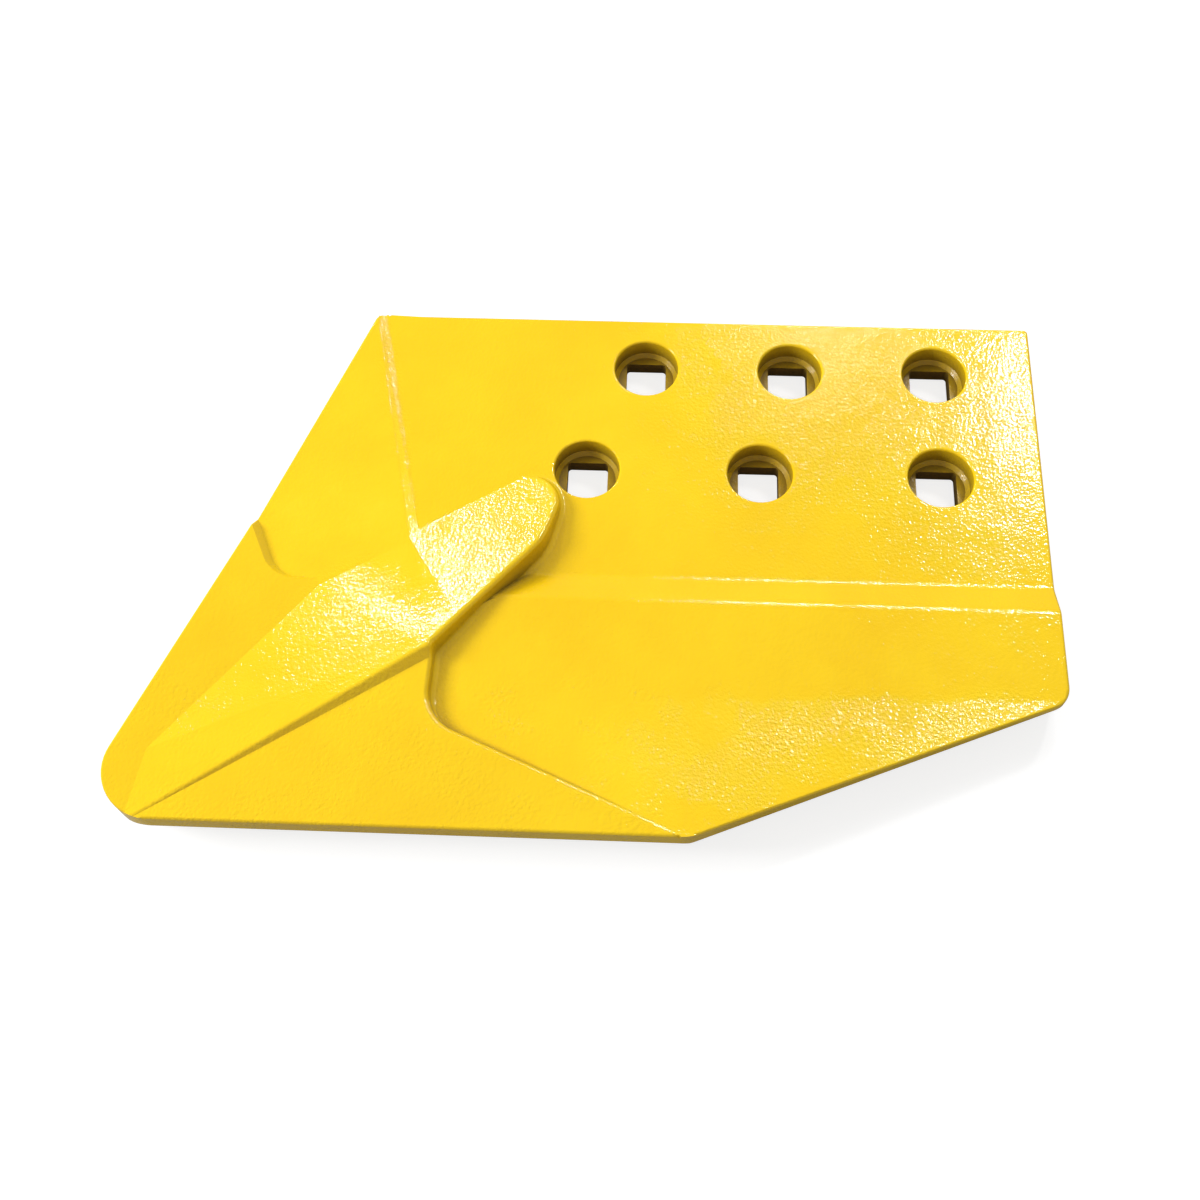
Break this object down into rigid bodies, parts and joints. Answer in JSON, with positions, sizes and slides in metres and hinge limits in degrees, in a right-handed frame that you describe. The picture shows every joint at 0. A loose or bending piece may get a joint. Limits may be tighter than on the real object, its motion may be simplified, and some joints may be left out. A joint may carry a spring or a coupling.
{
  "type": "dozer end bit",
  "caption": "Cast steel end bit that bolts to the lower outer corner of a dozer blade and takes the wear of digging.",
  "frame": {"origin": "on the flat back face, in line with the inboard column of bolt holes and midway between the upper and lower rows of holes", "axes": "+X towards the inboard end, +Y towards the top edge, +Z out of the front face"},
  "size_m": [0.7486, 0.485, 0.0636],
  "materials": {
    "yellow_paint": "glossy yellow paint over a rough cast surface"
  },
  "bodies": {
    "root": {"end_bit": "yellow_paint"}
  },
  "joints": []
}
